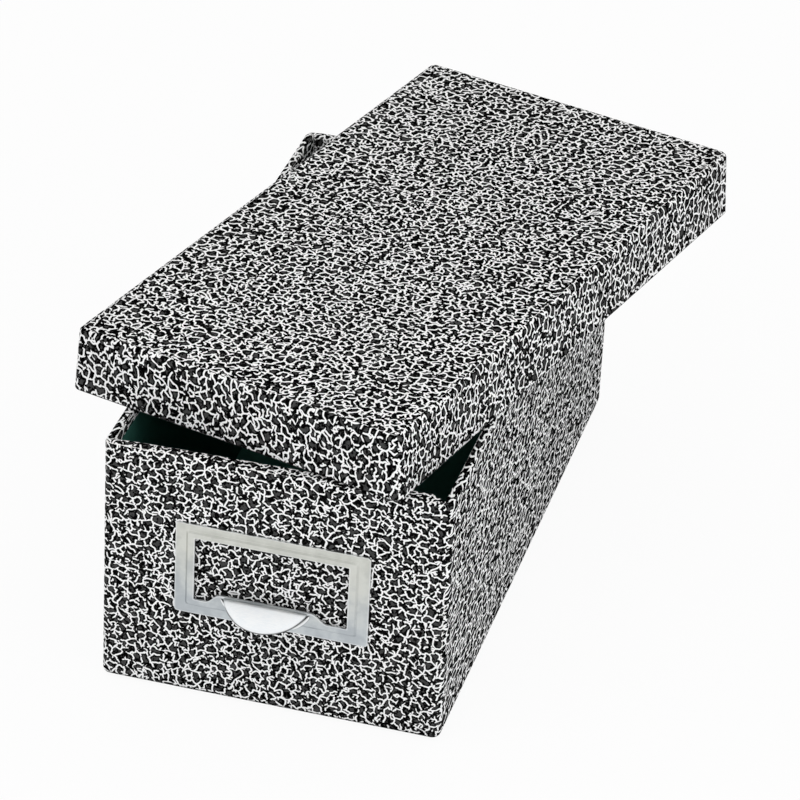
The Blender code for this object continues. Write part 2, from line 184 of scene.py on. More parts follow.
class Wiring:
    """Adds nodes to one tree. An input is given a number, a colour, a vector or another node's output."""

    def __init__(self, tree):
        self.tree = tree

    def node(self, kind, inputs=None, **settings):
        """A new node with its settings made and its inputs, named or numbered, filled."""
        made = self.tree.nodes.new("ShaderNode" + kind)
        for name, value in settings.items():
            setattr(made, name, value)
        for socket, value in (inputs or {}).items():
            if isinstance(value, bpy.types.NodeSocket):
                self.tree.links.new(value, made.inputs[socket])
            else:
                made.inputs[socket].default_value = value
        return made

    def maths(self, operation, *values):
        """The result of one sum on numbers."""
        return self.node("Math", dict(enumerate(values)), operation=operation).outputs[0]

    def vector(self, operation, first, second):
        """Vector maths on two vectors, or on a vector and the number that scales it."""
        sockets = {0: first, "Scale" if operation == "SCALE" else 1: second}
        return self.node("VectorMath", sockets, operation=operation).outputs[0]

    def noise(self, place, scale, detail=2.0, roughness=0.5, dimensions="3D"):
        """Clouds with this many per unit of place."""
        sockets = {"Vector": place, "Scale": scale, "Detail": detail, "Roughness": roughness}
        return self.node("TexNoise", sockets, noise_dimensions=dimensions)

    def ease(self, value, low, high, to_low=0.0, to_high=1.0):
        """The value between low and high, eased at both ends, as a share from to_low to to_high."""
        sockets = {"Value": value, "From Min": low, "From Max": high, "To Min": to_low, "To Max": to_high}
        return self.node("MapRange", sockets, interpolation_type="SMOOTHSTEP").outputs[0]

    def blend(self, share, first, second, how="MIX"):
        """The first colour, and by this share the second."""
        made = self.node("Mix", {0: share, 6: first, 7: second}, data_type="RGBA", blend_type=how)
        return made.outputs[2]

    def height_of(self, place):
        """The upward part of a place or a direction."""
        return self.node("SeparateXYZ", {0: place}).outputs["Z"]

    def group(self, tree, inputs):
        """The outputs of a node group put in here with these inputs."""
        return self.node("Group", inputs, node_tree=tree).outputs


def new_group(name, inputs, outputs):
    """A node group with named sockets, the wiring to fill it with, its inputs and its output node."""
    tree = bpy.data.node_groups.new(name, "ShaderNodeTree")
    for label, kind, value in inputs:
        socket = tree.interface.new_socket(label, in_out="INPUT", socket_type="NodeSocket" + kind)
        if value is not None:
            socket.default_value = value
    for label, kind in outputs:
        tree.interface.new_socket(label, in_out="OUTPUT", socket_type="NodeSocket" + kind)
    given = tree.nodes.new("NodeGroupInput").outputs
    result = tree.nodes.new("NodeGroupOutput")
    return tree, Wiring(tree), given, result


def island_walls_group():
    """Distances to the bent walls between islands, for large islands and for small ones."""
    tree, wiring, given, result = new_group(
        "island_walls",
        (
            ("Place", "Vector", None),
            ("Sway", "Float", SWAY),
            ("Wriggle", "Float", WRIGGLE),
            ("Large Spacing", "Float", LARGE_SPACING),
            ("Small Spacing", "Float", SMALL_SPACING),
        ),
        (("Large", "Float"), ("Small", "Float")),
    )
    bent = given["Place"]
    for amount, scale in (("Sway", SWAY_SCALE), ("Wriggle", WRIGGLE_SCALE)):
        drift = wiring.noise(given["Place"], scale, 0.0, 0.5, "2D").outputs["Color"]
        drift = wiring.vector("SUBTRACT", drift, NOISE_MIDDLE)
        bent = wiring.vector("ADD", bent, wiring.vector("SCALE", drift, given[amount]))
    for size, shift in (("Large", LARGE_SHIFT), ("Small", SMALL_SHIFT)):
        spacing = given[size + " Spacing"]
        sockets = {
            "Vector": wiring.vector("ADD", bent, shift),
            "Scale": wiring.maths("DIVIDE", 1.0, spacing),
            "Randomness": ISLAND_SCATTER,
        }
        settings = {"feature": "DISTANCE_TO_EDGE", "voronoi_dimensions": "2D"}
        distance = wiring.node("TexVoronoi", sockets, **settings).outputs["Distance"]
        tree.links.new(wiring.maths("MULTIPLY", distance, spacing), result.inputs[size])
    return tree


def marbled_print_group():
    """Print of the covering paper: black-rimmed charcoal islands between white veins, which have gaps."""
    tree, wiring, given, result = new_group(
        "marbled_print",
        (
            ("Place", "Vector", None),
            ("Units per Metre", "Float", UNITS_PER_METRE),
            ("Vein Width", "Float", VEIN_WIDTH),
            ("Rim Width", "Float", RIM_WIDTH),
            ("Vein Colour", "Color", VEIN_WHITE),
            ("Rim Colour", "Color", RIM_BLACK),
            ("Core Colour", "Color", CORE_CHARCOAL),
        ),
        (("Colour", "Color"),),
    )
    place = wiring.vector("SCALE", given["Place"], given["Units per Metre"])
    beside = wiring.vector("ADD", place, (SLOPE_STEP, 0, 0))
    beyond = wiring.vector("ADD", place, (0, SLOPE_STEP, 0))
    here, right, up = [wiring.group(ISLAND_WALLS, {"Place": point}) for point in (place, beside, beyond)]

    def even_distance(size):
        """The bent distance over its own slope, so that a vein is as wide where the bends are tight."""
        rises = [wiring.maths("SUBTRACT", moved[size], here[size]) for moved in (right, up)]
        squares = [wiring.maths("MULTIPLY", rise, rise) for rise in rises]
        slope = wiring.maths("SQRT", wiring.maths("ADD", *squares))
        slope = wiring.maths("DIVIDE", slope, SLOPE_STEP)
        return wiring.maths("DIVIDE", here[size], wiring.maths("MAXIMUM", slope, FLATTEST_SLOPE))

    zone = wiring.noise(place, ZONE_SCALE, 1.0, 0.5, "2D").outputs["Fac"]
    zone = wiring.ease(zone, ZONE_LARGE, ZONE_SMALL)
    near = wiring.node("Mix", {0: zone, 2: even_distance("Large"), 3: even_distance("Small")}).outputs[0]
    gaps = wiring.noise(wiring.vector("ADD", place, GAP_SHIFT), GAP_SCALE, 0.0, 0.5, "2D").outputs["Fac"]
    near = wiring.maths("ADD", near, wiring.ease(gaps, GAP_FROM, GAP_FULL, 0.0, GAP_FILL))
    edge = wiring.maths("MULTIPLY", given["Vein Width"], VEIN_SOFTNESS)
    vein_start = wiring.maths("SUBTRACT", given["Vein Width"], edge)
    vein_end = wiring.maths("ADD", given["Vein Width"], edge)
    vein = wiring.ease(near, vein_start, vein_end, 1.0, 0.0)
    core_start = wiring.maths("ADD", given["Vein Width"], given["Rim Width"])
    core = wiring.ease(near, core_start, wiring.maths("MULTIPLY", core_start, CORE_SOFTNESS))
    mottle = wiring.noise(place, CORE_MOTTLE_SCALE, 3.0, 0.7, "2D").outputs["Fac"]
    core = wiring.maths("MULTIPLY", core, wiring.ease(mottle, *NOISE_REACH, *CORE_STRENGTH))
    colour = wiring.blend(core, given["Rim Colour"], given["Core Colour"])
    colour = wiring.blend(vein, colour, given["Vein Colour"])
    tree.links.new(colour, result.inputs["Colour"])
    return tree


def paper_fibre_group():
    """Fine tooth of paper and board: a fibre height and a slow mottle, both about 0.5."""
    tree, wiring, given, result = new_group(
        "paper_fibre",
        (
            ("Place", "Vector", None),
            ("Fibres per Metre", "Float", 2600.0),
            ("Clouds per Metre", "Float", 60.0),
        ),
        (("Fibre", "Float"), ("Mottle", "Float")),
    )
    drift = wiring.noise(given["Place"], given["Clouds per Metre"], 1.0).outputs["Color"]
    bent = wiring.vector("ADD", given["Place"], wiring.vector("SCALE", drift, FIBRE_DRIFT))
    fibre = wiring.noise(bent, given["Fibres per Metre"], 3.0, 0.65).outputs["Fac"]
    mottle = wiring.noise(given["Place"], given["Clouds per Metre"], 4.0, 0.6).outputs["Fac"]
    tree.links.new(fibre, result.inputs["Fibre"])
    tree.links.new(mottle, result.inputs["Mottle"])
    return tree


def handling_wear_group():
    """Where edges are rubbed: the fold's own exposure, broken up into patches and flecks."""
    tree, wiring, given, result = new_group(
        "handling_wear",
        (
            ("Place", "Vector", None),
            ("Exposure", "Float", 0.0),
            ("Amount", "Float", 0.5),
            ("Flecks per Metre", "Float", 900.0),
        ),
        (("Rubbed", "Float"),),
    )
    flecks = wiring.noise(given["Place"], given["Flecks per Metre"], 3.0, 0.6).outputs["Fac"]
    patches = wiring.noise(given["Place"], WEAR_PATCHES_PER_METRE, 2.0).outputs["Fac"]
    patches = wiring.ease(patches, *NOISE_CORE, WEAR_BESIDE_PATCHES, 1.0)
    reach = wiring.maths("MULTIPLY", given["Exposure"], patches)
    reach = wiring.maths("MULTIPLY", reach, given["Amount"])
    rubbed = wiring.maths("SUBTRACT", wiring.maths("ADD", reach, flecks), 1.0)
    rubbed = wiring.ease(rubbed, *RUBBED_THROUGH)
    tree.links.new(rubbed, result.inputs["Rubbed"])
    return tree


ISLAND_WALLS = island_walls_group()
MARBLED_PRINT = marbled_print_group()
PAPER_FIBRE = paper_fibre_group()
HANDLING_WEAR = handling_wear_group()

# Materials


def new_material(name):
    """An empty material, its wiring, its shader and the place on the object."""
    material = bpy.data.materials.new(name)
    material.use_nodes = True
    wiring = Wiring(material.node_tree)
    shader = material.node_tree.nodes["Principled BSDF"]
    place = wiring.node("TexCoord").outputs["Object"]
    return material, wiring, shader, place


def connect(wiring, shader, **sockets):
    """Link outputs to the shader's sockets, with an underscore for each space in their names."""
    for name, value in sockets.items():
        wiring.tree.links.new(value, shader.inputs[name.replace("_", " ")])


def bump(wiring, height, distance):
    """A normal roughened by a height between 0 and about 1, this distance high."""
    return wiring.node("Bump", {"Height": height, "Distance": distance}).outputs["Normal"]


def mark(wiring, name):
    """What a mesh says at each point, such as how far it is folded or how much painted shade it carries."""
    return wiring.node("Attribute", attribute_name=name).outputs["Fac"]


def marbled_paper():
    """The covering paper, dead matt and printed, rubbed bare at its folds, with painted contact shade along
    its lower edge.
    """
    material, wiring, shader, place = new_material("marbled_paper")
    printed_place = wiring.node("UVMap", uv_map=PRINT_MAP).outputs["UV"]
    facing = wiring.node("TexCoord").outputs["Normal"]
    upward = wiring.ease(wiring.height_of(facing), FACES_UP_FROM, FACES_UP_FULL)
    vein_width = wiring.ease(upward, 0.0, 1.0, VEIN_WIDTH, TOP_VEIN_WIDTH)
    rim_width = wiring.ease(upward, 0.0, 1.0, RIM_WIDTH, TOP_RIM_WIDTH)
    printed = wiring.group(
        MARBLED_PRINT,
        {"Place": printed_place, "Vein Width": vein_width, "Rim Width": rim_width},
    )
    fibre = wiring.group(PAPER_FIBRE, {"Place": place})
    wear = {"Place": place, "Exposure": mark(wiring, "fold"), "Amount": COVER_WEAR}
    worn = wiring.group(HANDLING_WEAR, wear)
    tone = wiring.ease(fibre["Mottle"], *NOISE_BODY, DARKEST_TONE, 1.0)
    colour = wiring.blend(1.0, printed["Colour"], tone, "MULTIPLY")
    colour = wiring.blend(worn["Rubbed"], colour, BARE_PAPER)
    # Painted contact shade: the paper darkened along its lower fold, where it meets the rim or the floor.
    colour = wiring.blend(mark(wiring, "contact_shade"), colour, PAPER_CONTACT_SHADE)
    roughness = wiring.ease(fibre["Fibre"], *NOISE_BODY, *COVER_ROUGHNESS)
    rougher = wiring.maths("MULTIPLY", worn["Rubbed"], RUBBED_ROUGHER)
    roughness = wiring.maths("ADD", roughness, rougher)
    height = wiring.maths("ADD", fibre["Fibre"], wiring.maths("MULTIPLY", fibre["Mottle"], MOTTLE_TOOTH))
    tooth = bump(wiring, height, COVER_TOOTH)
    connect(wiring, shader, Base_Color=colour, Roughness=roughness, Normal=tooth)
    shader.inputs["Specular IOR Level"].default_value = 0.0
    return material


def plain_paper(name, dark, light, roughness, tooth, fibres=2200.0, clouds=45.0):
    """Unprinted paper or board between two tones, rubbed towards pale fibre at its folds."""
    material, wiring, shader, place = new_material(name)
    sockets = {"Place": place, "Fibres per Metre": fibres, "Clouds per Metre": clouds}
    fibre = wiring.group(PAPER_FIBRE, sockets)
    wear = {"Place": place, "Exposure": mark(wiring, "fold"), "Amount": PLAIN_WEAR}
    worn = wiring.group(HANDLING_WEAR, wear)
    share = wiring.maths("ADD", fibre["Fibre"], fibre["Mottle"])
    share = wiring.ease(share, *TWO_NOISES)
    colour = wiring.blend(share, (*dark, 1.0), (*light, 1.0))
    lighter = tuple(0.5 * (value + BARE_FIBRE) for value in light)
    colour = wiring.blend(worn["Rubbed"], colour, (*lighter, 1.0))
    smoothest, roughest = roughness - PLAIN_ROUGHNESS_SWING, roughness + PLAIN_ROUGHNESS_SWING
    rough = wiring.ease(fibre["Mottle"], *NOISE_BODY, smoothest, roughest)
    connect(wiring, shader, Base_Color=colour, Roughness=rough, Normal=bump(wiring, fibre["Fibre"], tooth))
    shader.inputs["Specular IOR Level"].default_value = PLAIN_SHINE
    return material


def plated_steel():
    """Satin nickel plate with rolling marks and clouds, with painted highlights where the mesh marks them
    and painted shade in creases.
    """
    material, wiring, shader, place = new_material("plated_steel")
    stretched = wiring.node("Mapping", {"Vector": place, "Scale": ROLLED_SCALE}).outputs[0]
    lines = wiring.noise(stretched, ROLLED_LINES_PER_METRE, 2.0).outputs["Fac"]
    clouds = wiring.noise(place, CLOUDS_PER_METRE, 4.0, 0.6).outputs["Fac"]
    grains = wiring.noise(place, GRAINS_PER_METRE, 1.0).outputs["Fac"]
    painted_highlight = mark(wiring, "painted_highlight")
    painted_shade = mark(wiring, "painted_shade")
    share = wiring.ease(clouds, *NOISE_CORE)
    # Painted reflection: the plate darker and cooler towards its foot, lighter and warmer towards its top.
    height_up = wiring.height_of(place)
    height_up = wiring.maths("ADD", height_up, wiring.maths("MULTIPLY", clouds, WARMTH_DRIFT))
    warmth = wiring.ease(height_up, COOL_HEIGHT, WARM_HEIGHT)
    dull = wiring.blend(warmth, DULL_COOL, DULL_WARM)
    bright = wiring.blend(warmth, BRIGHT_COOL, BRIGHT_WARM)
    colour = wiring.blend(share, dull, bright)
    # Painted highlight: near white, streaked by the rolling marks and clouds.
    marks = wiring.ease(wiring.maths("ADD", lines, clouds), *HIGHLIGHT_MARKS)
    highlighted = wiring.blend(marks, HIGHLIGHT_DARK, HIGHLIGHT_LIGHT)
    colour = wiring.blend(painted_highlight, colour, highlighted)
    # Painted shade in creases: the pull's rim, its left flank and beside the beads.
    colour = wiring.blend(painted_shade, colour, STEEL_PAINTED_SHADE)
    roughness = wiring.ease(lines, *NOISE_BODY, *PLATE_ROUGHNESS)
    roughness = wiring.maths("ADD", roughness, wiring.maths("MULTIPLY", share, CLOUD_ROUGHER))
    roughness = wiring.maths("ADD", roughness, wiring.maths("MULTIPLY", painted_shade, SHADED_ROUGHER))
    height = wiring.maths("ADD", lines, wiring.maths("MULTIPLY", grains, GRAIN_TOOTH))
    tooth = bump(wiring, height, PLATE_TOOTH)
    connect(wiring, shader, Base_Color=colour, Roughness=roughness, Normal=tooth)
    shader.inputs["Metallic"].default_value = 1.0
    return material


MARBLED = marbled_paper()
LINING = plain_paper("lining_paper", (0.027, 0.115, 0.090), (0.038, 0.155, 0.122), 0.72, 0.00003)
BASE_PAPER = plain_paper("base_paper", (0.014, 0.014, 0.014), (0.035, 0.035, 0.034), 0.74, 0.00003)
BOARD = plain_paper("fiberboard", (0.27, 0.23, 0.18), (0.43, 0.38, 0.31), 0.88, 0.00006, 1500.0, 90.0)
KRAFT = plain_paper("stay_paper", (0.36, 0.25, 0.14), (0.52, 0.39, 0.24), 0.80, 0.00004, 1900.0, 70.0)
STEEL = plated_steel()

# Sections and outlines. A flat end of a sheet is filled from a share of its width inwards

CORNER_STEPS = 10
FOLD_STEPS = 6
LONGEST_STEP = 0.006
FLAT_END_FROM = 0.25


def smooth_share(value):
    """The value between 0 and 1, eased at both ends."""
    value = min(max(value, 0.0), 1.0)
    return value * value * (3 - 2 * value)


def arc(centre, radius, start, end, steps):
    """Points on a circle from one angle to another."""
    angles = [start + (end - start) * step / steps for step in range(steps + 1)]
    return [Vector((centre[0] + radius * cos(angle), centre[1] + radius * sin(angle))) for angle in angles]


def stretched_between(start, end, steps):
    """Points from start up to but without end."""
    return [start.lerp(end, step / steps) for step in range(steps)]


def rounded_plan(half_width, low, high, radius, corner_steps, wall_steps):
    """Points anticlockwise round a rectangle with rounded corners, starting at its upper left one."""
    right, low, high = half_width - radius, low + radius, high - radius
    middles = ((-right, high, pi / 2), (-right, low, pi), (right, low, -pi / 2), (right, high, 0))
    corners = [arc((x, y), radius, start, start + pi / 2, corner_steps) for x, y, start in middles]
    points = []
    for corner, after, steps in zip(corners, corners[1:] + corners[:1], wall_steps):
        points += corner[:-1] + stretched_between(corner[-1], after[0], steps)
    return points


def lengths_along(path):
    """How far along the path each of its points lies."""
    lengths = [0.0]
    for before, after in zip(path, path[1:]):
        lengths.append(lengths[-1] + (after - before).length)
    return lengths


def folded(points, radii, longest=LONGEST_STEP):
    """A section's path, with each inner point rounded to its radius and long runs divided."""
    corners = [Vector(points[0])]
    for before, fold, after, radius in zip(points, points[1:], points[2:], radii):
        fold = Vector(fold)
        to_before = (Vector(before) - fold).normalized()
        to_after = (Vector(after) - fold).normalized()
        half_angle = to_before.angle(to_after) / 2
        middle = fold + (to_before + to_after).normalized() * radius / sin(half_angle)
        start = fold + to_before * radius / tan(half_angle) - middle
        side = 1 if to_before.x * to_after.y - to_before.y * to_after.x < 0 else -1
        first = atan2(start.y, start.x)
        corners += arc(middle, radius, first, first + side * (pi - 2 * half_angle), FOLD_STEPS)
    corners.append(Vector(points[-1]))
    path = []
    for start, end in zip(corners, corners[1:]):
        path += stretched_between(start, end, max(1, round((end - start).length / longest)))
    return path + [corners[-1]]


class Case:
    """An upright case of rounded rectangular plan, whose walls may lean out towards its open edge."""

    def __init__(self, width, depth, height, corner_radius, side_flare=0.0, end_flare=0.0):
        self.half_width = width / 2
        self.half_depth = depth / 2
        self.height = height
        self.corner_radius = corner_radius
        self.side_flare = side_flare
        self.end_flare = end_flare
        self.wall_steps = (round(depth / LONGEST_STEP), round(width / LONGEST_STEP)) * 2

    def ring(self, inset, height):
        """Points anticlockwise round the case from its back left corner, this far inside its skin."""
        lean_share = 1 - height / self.height
        half_width = self.half_width + self.side_flare * lean_share - inset
        back = self.half_depth + self.end_flare * lean_share - inset
        radius = max(self.corner_radius - inset, 2 * PAPER)
        points = rounded_plan(half_width, -back, back, radius, CORNER_STEPS, self.wall_steps)
        return [Vector((point.x, point.y, height)) for point in points]

    def walls(self):
        """For each face round the ring, the wall it belongs to. A corner's faces are shared out."""
        half = CORNER_STEPS // 2
        names = []
        for name, steps in zip(("left", "front", "right", "back"), self.wall_steps):
            names += [name] * (half + steps + half)
        return names[-half:] + names[:-half]

    def shell(self, section, radii, lay_flat, close_start=False, close_end=False):
        """A bmesh of the section carried round the case, with its print map and its flat end filled."""
        mesh = bmesh.new()
        path = folded(section, radii)
        rings = [[mesh.verts.new(point) for point in self.ring(inset, height)] for inset, height in path]
        lengths = lengths_along(path)
        walls = self.walls()
        around = [0.0]
        skin = self.ring(0, self.height)
        for before, after, wall in zip(skin, skin[1:] + skin[:1], walls):
            stretch = SIDE_STRETCH if wall in ("left", "right") else 1
            around.append(around[-1] + (after - before).length / stretch)
        print_map = mesh.loops.layers.uv.new(PRINT_MAP)
        for step, (ring, after) in enumerate(zip(rings, rings[1:])):
            for number, wall in enumerate(walls):
                beside = (number + 1) % len(ring)
                face = mesh.faces.new((ring[number], ring[beside], after[beside], after[number]))
                places = ((number, step), (number + 1, step), (number + 1, step + 1), (number, step + 1))
                for loop, (column, row) in zip(face.loops, places):
                    loop[print_map].uv = lay_flat(wall, loop.vert.co, around[column], lengths[row])
        ends = []
        if close_start:
            ends.append(rings[0][::-1])
        if close_end:
            ends.append(rings[-1])
        for end in ends:
            for loop in mesh.faces.new(end).loops:
                loop[print_map].uv = loop.vert.co.xy
        return mesh


TRAY = Case(TRAY_WIDTH, TRAY_DEPTH, TRAY_HEIGHT, TRAY_CORNER_RADIUS)
LID = Case(LID_WIDTH, LID_DEPTH, LID_HEIGHT, LID_CORNER_RADIUS, LID_SIDE_FLARE, LID_END_FLARE)

# Where the paper lies on its printed sheet


def on_strip(wall, point, around, along):
    """On a strip wound round the case, as far round it and along the section."""
    return around, along


def on_lid_sheet(wall, point, around, along):
    """On a sheet whose edges are folded down, so that each wall carries on from its edge of the top."""
    down = LID_SHEET_DOWN - along
    place = Vector(point.xy)
    if down > 0:
        down *= LID_STRETCH / SKIRT_STRETCH
        if wall in ("front", "back"):
            place.y = (LID_DEPTH / 2 + down) * (1 if wall == "back" else -1)
        else:
            place.x = (LID_WIDTH / 2 + down) * (1 if wall == "right" else -1)
    return place / LID_STRETCH


# Finishing meshes

SQUARE_TO_DIAGONAL = 1 - 1 / sqrt(2)
RIM_RUB, OTHER_FOLDS_RUB = 1.0, 0.8
# Painted contact shade along the lid's lower fold and the tray's foot: how dark, and the heights where it is
# full and where it ends.
LID_EDGE_SHADE = (0.9, 0.0007, 0.0010)
TRAY_EDGE_SHADE = (0.6, 0.0019, 0.0027)
SHARP_ANGLE = radians(50)
BROKEN_EDGE_ANGLE = radians(60)


def mark_folds(mesh, rim_height):
    """How bare each point lies to hands: 0 where the skin is flat, most at folds above the rim's height."""
    mesh.normal_update()
    layer = mesh.verts.layers.float.new("fold")
    for point in mesh.verts:
        squareness = max(abs(part) for part in point.normal)
        turned = min(1.0, (1 - squareness) / SQUARE_TO_DIAGONAL)
        point[layer] = turned * (RIM_RUB if point.co.z > rim_height else OTHER_FOLDS_RUB)


def shade_lower_edge(mesh, amount, full_height, clean_height):
    """Paint contact shade on the piece's lowest fold, full up to one height and none above the other."""
    contact_shade = mesh.verts.layers.float.new("contact_shade")
    for point in mesh.verts:
        share = (clean_height - point.co.z) / (clean_height - full_height)
        point[contact_shade] = amount * smooth_share(share)


def put_in_scene(name, data):
    """An object of a mesh, a light or a camera."""
    made = bpy.data.objects.new(name, data)
    bpy.context.scene.collection.objects.link(made)
    return made


def new_object(name, mesh):
    """An object of the bmesh, which is used up."""
    data = bpy.data.meshes.new(name)
    mesh.to_mesh(data)
    mesh.free()
    return put_in_scene(name, data)


def drop(piece):
    """Take an object and its mesh away."""
    data = piece.data
    bpy.data.objects.remove(piece)
    bpy.data.meshes.remove(data)


def new_piece(name, mesh, material, body, place=None, rim_height=inf):
    """An object of the mesh, put in its place, which rides on its body."""
    mark_folds(mesh, rim_height)
    if place:
        mesh.transform(place)
    piece = new_object(name, mesh)
    piece.data.shade_smooth()
    piece.data.materials.append(material)
    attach(piece, body)
    return piece


def thicken(piece, thickness, offset=-1.0):
    """Give a sheet its thickness: behind its face with an offset of -1, half on each side with 0."""
    solidify = piece.modifiers.new("thickness", "SOLIDIFY")
    solidify.thickness = thickness
    solidify.offset = offset
    solidify.use_even_offset = True


def break_edges(piece, width):
    """Take the sharpness off the edges that a cut leaves."""
    bevel = piece.modifiers.new("broken_edges", "BEVEL")
    bevel.width = width
    bevel.segments = 2
    bevel.limit_method = "ANGLE"
    bevel.angle_limit = BROKEN_EDGE_ANGLE


def settle(piece):
    """Put what the modifiers make into the piece's own mesh."""
    seen = piece.evaluated_get(bpy.context.evaluated_depsgraph_get())
    data = bpy.data.meshes.new_from_object(seen)
    piece.modifiers.clear()
    old = piece.data
    piece.data = data
    bpy.data.meshes.remove(old)
    data.name = piece.name
    data.set_sharp_from_angle(angle=SHARP_ANGLE)


def combine(piece, mesh, operation):
    """Cut a closed mesh out of the piece or join it on. The cut or joined faces get the piece's material."""
    tool = new_object("tool", mesh)
    tool.data.materials.append(piece.data.materials[0])
    boolean = piece.modifiers.new("tool", "BOOLEAN")
    boolean.operation = operation
    boolean.solver = "MANIFOLD"
    boolean.object = tool
    settle(piece)
    drop(tool)


def thick_sheet(mesh, thickness, offset=-1.0, broken=0.0):
    """A closed mesh of an open sheet, with its edges broken by this width."""
    tool = new_object("tool", mesh)
    thicken(tool, thickness, offset)
    if broken:
        break_edges(tool, broken)
    settle(tool)
    closed = bmesh.new()
    closed.from_mesh(tool.data)
    drop(tool)
    return closed


# Tray

RIM_RUB_DEPTH = 0.7 * TRAY_RIM_RADIUS
FILL_LEFT_END, FILL_RIGHT_END = 0.004, 0.005
INNER_SKIN_REACH = 0.001
LAP_COLUMNS = ((0.0, 0.0), (0.003, 1.0), (0.0075, 1.0), (0.012, 1.0), (0.0135, 1.0))
LAP_SUNK = 0.00005
LAP_PRINT_SHIFT = 0.71
LAP_EDGE_RUB = 0.5


def prong_slots():
    """Boxes through the front wall where the holder's prongs pass."""
    mesh = bmesh.new()
    width = HOLDER_SHEET + 2 * PRONG_CLEARANCE
    height = PRONG_WIDTH + 2 * PRONG_CLEARANCE
    length = 2 * TRAY_WALL
    size = Matrix.Diagonal((width, height, length + 2 * HOLDER_SHEET, 1))
    for right, up in PRONG_SIDES:
        place = HOLDER_PLACE @ Matrix.Translation((right * PRONG_ACROSS, up * PRONG_UP, -length / 2))
        bmesh.ops.create_cube(mesh, size=1, matrix=place @ size)
    return mesh


def turn_in(y):
    """How far the cover is turned into the tray, which is least at the front."""
    short = smooth_share(0.5 - y / TRAY_DEPTH)
    return TRAY_TURN_IN + (TRAY_FRONT_TURN_IN - TRAY_TURN_IN) * short


def trim_to_turn_in(mesh, fixed, free, gap=0.0):
    """Stretch a sheet inside the tray, so that its edge at the height free comes to the turn-in's edge."""
    print_map = mesh.loops.layers.uv[PRINT_MAP]
    low, high = min(fixed, free), max(fixed, free)
    for point in mesh.verts:
        inside = min(TRAY_WIDTH / 2 - abs(point.co.x), TRAY_DEPTH / 2 - abs(point.co.y)) > TRAY_WALL / 2
        if inside and low - gap <= point.co.z <= high + gap:
            edge = TRAY_HEIGHT - turn_in(point.co.y) - gap
            rise = (edge - free) * (point.co.z - fixed) / (free - fixed)
            point.co.z += rise
            for loop in point.link_loops:
                loop[print_map].uv.y -= rise


def front_fill(x):
    """How much thicker the front wall is than the others, least at the left and none in the corners."""
    across = TRAY_WIDTH / 2 - TRAY_WALL
    grown = sqrt(min(max((x + across) / (2 * across), 0.0), 1.0))
    ends = smooth_share((across + x) / FILL_LEFT_END) * smooth_share((across - x) / FILL_RIGHT_END)
    return FRONT_FILL * grown * ends


def fill_front_wall(mesh):
    """Move the skin inside the front wall back by the wall's extra thickness."""
    print_map = mesh.loops.layers.uv[PRINT_MAP]
    for point in mesh.verts:
        inset = TRAY_DEPTH / 2 + point.co.y
        on_inner_skin = TRAY_WALL / 2 < inset < TRAY_WALL + INNER_SKIN_REACH
        if on_inner_skin and point.co.z > TRAY_LINER_FLOOR - PAPER:
            fill = front_fill(point.co.x)
            point.co.y += fill
            for loop in point.link_loops:
                loop[print_map].uv.y += fill


def end_of_strip(section, radii):
    """The end of the tray's strip of paper, lapped over its start beside a back corner."""
    path = folded(section, radii)
    lengths = lengths_along(path)
    mesh = bmesh.new()
    rubbed = mesh.verts.layers.float.new("fold")
    print_map = mesh.loops.layers.uv.new(PRINT_MAP)
    corner = TRAY_CORNER_RADIUS - TRAY_WIDTH / 2
    rows = []
    for before, point, after, length in zip(path, path[1:], path[2:], lengths[1:]):
        above_foot = point.y > TRAY_WRAP_FOOT + TRAY_FOOT_RADIUS
        up_to_rim = point.x < TRAY_WALL or point.y > TRAY_HEIGHT - 2 * TRAY_RIM_RADIUS
        if not (above_foot and up_to_rim):
            continue
        along = (after - before).normalized()
        row = []
        for across, share_up in LAP_COLUMNS:
            lifted = point + Vector((-along.y, along.x)) * (share_up * PAPER - LAP_SUNK)
            vertex = mesh.verts.new((corner + across, TRAY_DEPTH / 2 - lifted.x, lifted.y))
            vertex[rubbed] = LAP_EDGE_RUB if across == LAP_COLUMNS[-1][0] else 0.0
            row.append((vertex, (LAP_PRINT_SHIFT + across, length)))
        rows.append(row)
    for row, after in zip(rows, rows[1:]):
        for corners in zip(row[1:], row, after, after[1:]):
            face = mesh.faces.new([vertex for vertex, place in corners])
            for loop, (vertex, place) in zip(face.loops, corners):
                loop[print_map].uv = place
    return mesh


def cover_tray():
    """The marbled strip from under the base, up the walls, over the rim and into the tray."""
    section = (
        (TRAY_TURN_UNDER, TRAY_WRAP_FOOT),
        (0, TRAY_WRAP_FOOT),
        (0, TRAY_HEIGHT),
        (TRAY_WALL, TRAY_HEIGHT),
        (TRAY_WALL, TRAY_HEIGHT - TRAY_TURN_IN),
    )
    radii = (TRAY_FOOT_RADIUS, TRAY_RIM_RADIUS, TRAY_RIM_RADIUS)
    mesh = TRAY.shell(section, radii, on_strip)
    trim_to_turn_in(mesh, TRAY_HEIGHT - TRAY_RIM_RADIUS, TRAY_HEIGHT - TRAY_TURN_IN)
    fill_front_wall(mesh)
    # Painted contact shade along the tray's foot.
    shade_lower_edge(mesh, *TRAY_EDGE_SHADE)
    rim_height = TRAY_HEIGHT - RIM_RUB_DEPTH
    cover = new_piece("tray_cover", mesh, MARBLED, "tray", rim_height=rim_height)
    thicken(cover, PAPER)
    settle(cover)
    combine(cover, thick_sheet(end_of_strip(section, radii), PAPER), "UNION")
    combine(cover, prong_slots(), "DIFFERENCE")
    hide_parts("tray_wrap")


